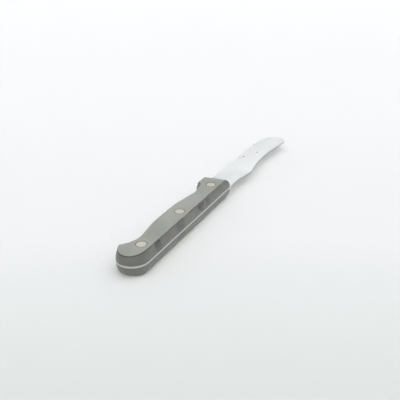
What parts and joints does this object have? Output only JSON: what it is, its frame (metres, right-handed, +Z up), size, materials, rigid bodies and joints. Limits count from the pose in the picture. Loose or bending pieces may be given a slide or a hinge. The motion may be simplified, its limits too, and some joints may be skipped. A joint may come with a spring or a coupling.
{
  "type": "butter knife",
  "caption": "Full-tang butter knife with a hump-backed blade, a wide rounded tip and dark grey handle scales held by flush round rivets.",
  "frame": {"origin": "middle of the knife's box, on the surface that the handle's lower scale lies on", "axes": "+X from the butt to the tip of the blade, +Y towards the cutting edge, +Z up through the handle's thickness"},
  "size_m": [0.2174, 0.0224, 0.0139],
  "materials": {
    "blade_steel": "satin stainless steel, finely brushed along the blade",
    "handle_resin": "dark grey moulded resin with a dull sheen",
    "rivet_metal": "pale nickel silver, ground flush with the scales"
  },
  "bodies": {
    "root": {"blade_and_tang": "blade_steel", "handle_scale_upper": "handle_resin", "handle_scale_lower": "handle_resin", "rivet_tube_rear": "rivet_metal", "rivet_tube_middle": "rivet_metal", "rivet_tube_front": "rivet_metal", "rivet_pin_rear": "rivet_metal", "rivet_pin_middle": "rivet_metal", "rivet_pin_front": "rivet_metal"}
  },
  "joints": []
}
